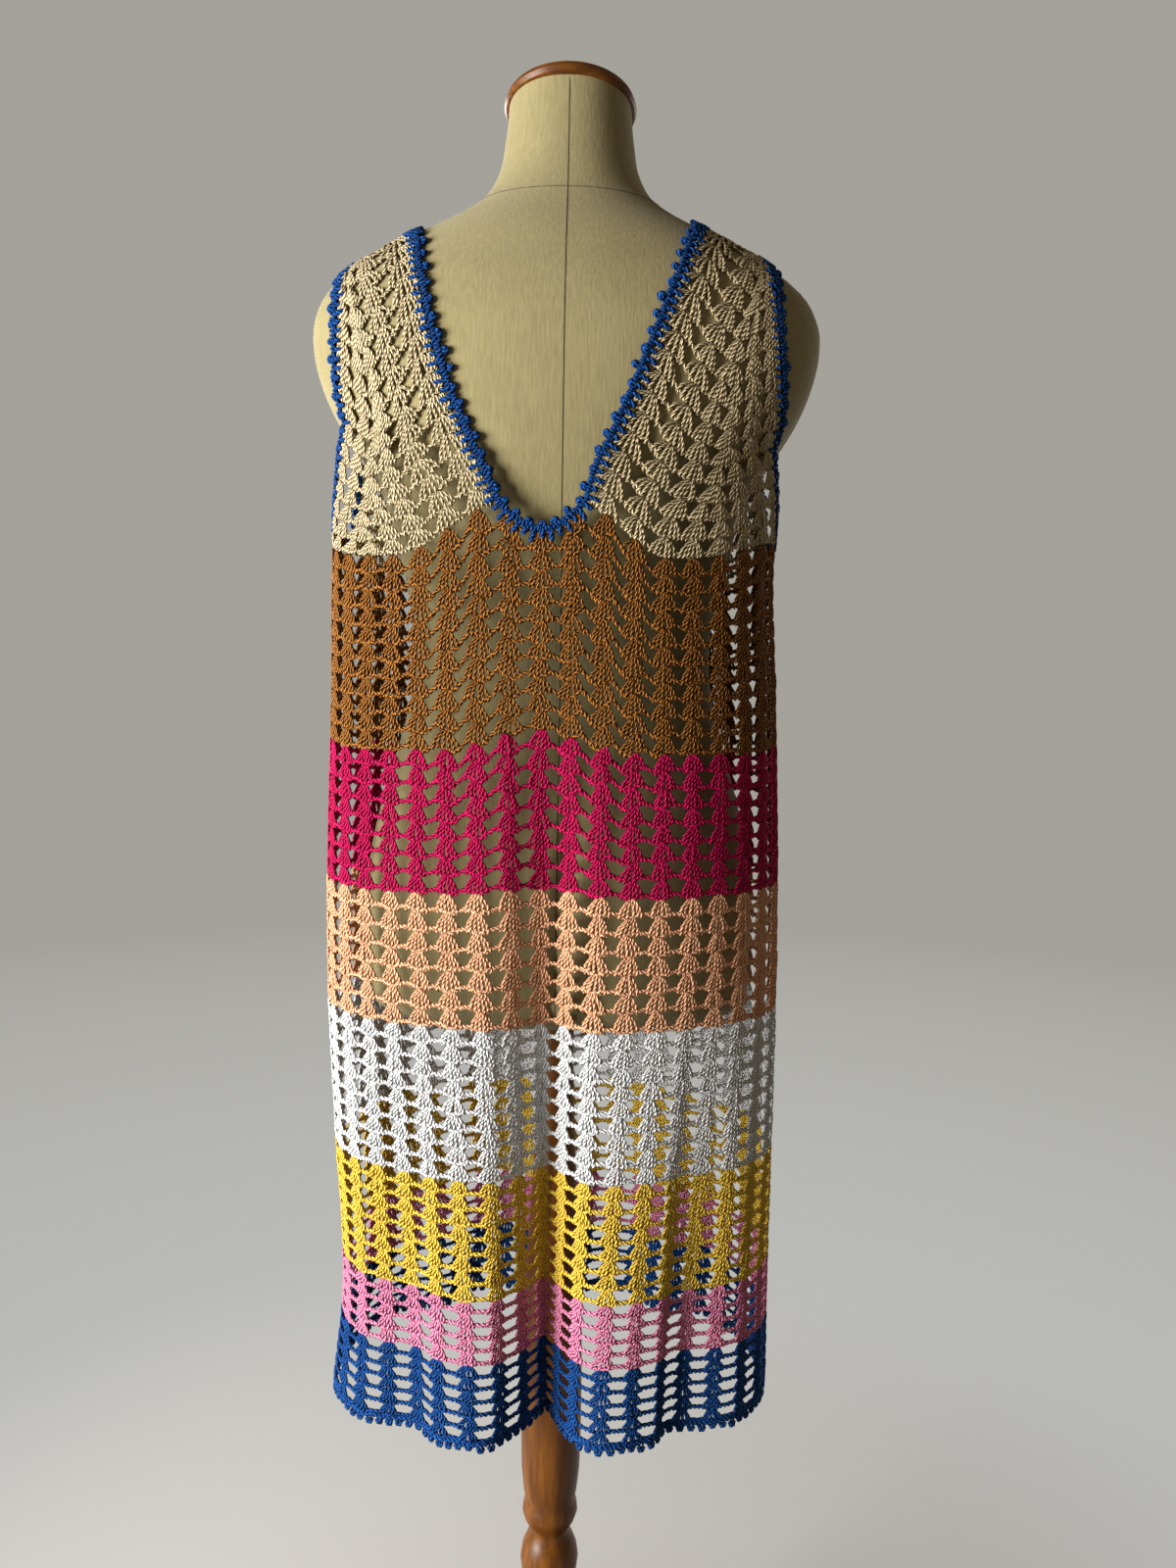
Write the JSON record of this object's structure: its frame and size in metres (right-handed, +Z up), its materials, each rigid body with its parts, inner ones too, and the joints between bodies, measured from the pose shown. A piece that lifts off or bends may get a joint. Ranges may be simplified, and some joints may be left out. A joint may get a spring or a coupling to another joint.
{
  "type": "crochet mini dress on a dress form",
  "caption": "Sleeveless V-neck crochet dress in coloured bands with picot edging, on a fabric-covered dress form with a turned wooden stand.",
  "frame": {"origin": "middle of the underside of the stand's base, on the floor", "axes": "+Z up along the pole, -Y towards the wearer's front, +X towards the wearer's left"},
  "size_m": [0.4166, 0.4, 1.5045],
  "materials": {
    "cream_yarn": "matt plied cotton",
    "brown_yarn": "matt plied cotton",
    "magenta_yarn": "matt plied cotton",
    "peach_yarn": "matt plied cotton",
    "white_yarn": "matt plied cotton",
    "yellow_yarn": "matt plied cotton",
    "pink_yarn": "matt plied cotton",
    "blue_yarn": "matt plied cotton",
    "form_fabric": "plain woven cover",
    "turned_wood": "varnished"
  },
  "bodies": {
    "root": {"form_torso": "form_fabric", "neck_cap": "turned_wood", "stand_pole": "turned_wood", "stand_base": "turned_wood", "yoke_back_left": "cream_yarn", "yoke_back_right": "cream_yarn", "yoke_front_left": "cream_yarn", "yoke_front_right": "cream_yarn", "band_brown": "brown_yarn", "band_magenta": "magenta_yarn", "band_peach": "peach_yarn", "band_white": "white_yarn", "band_yellow": "yellow_yarn", "band_pink": "pink_yarn", "band_blue": "blue_yarn", "neck_edging": "blue_yarn", "armhole_edging_left": "blue_yarn", "armhole_edging_right": "blue_yarn", "hem_edging": "blue_yarn"}
  },
  "joints": []
}
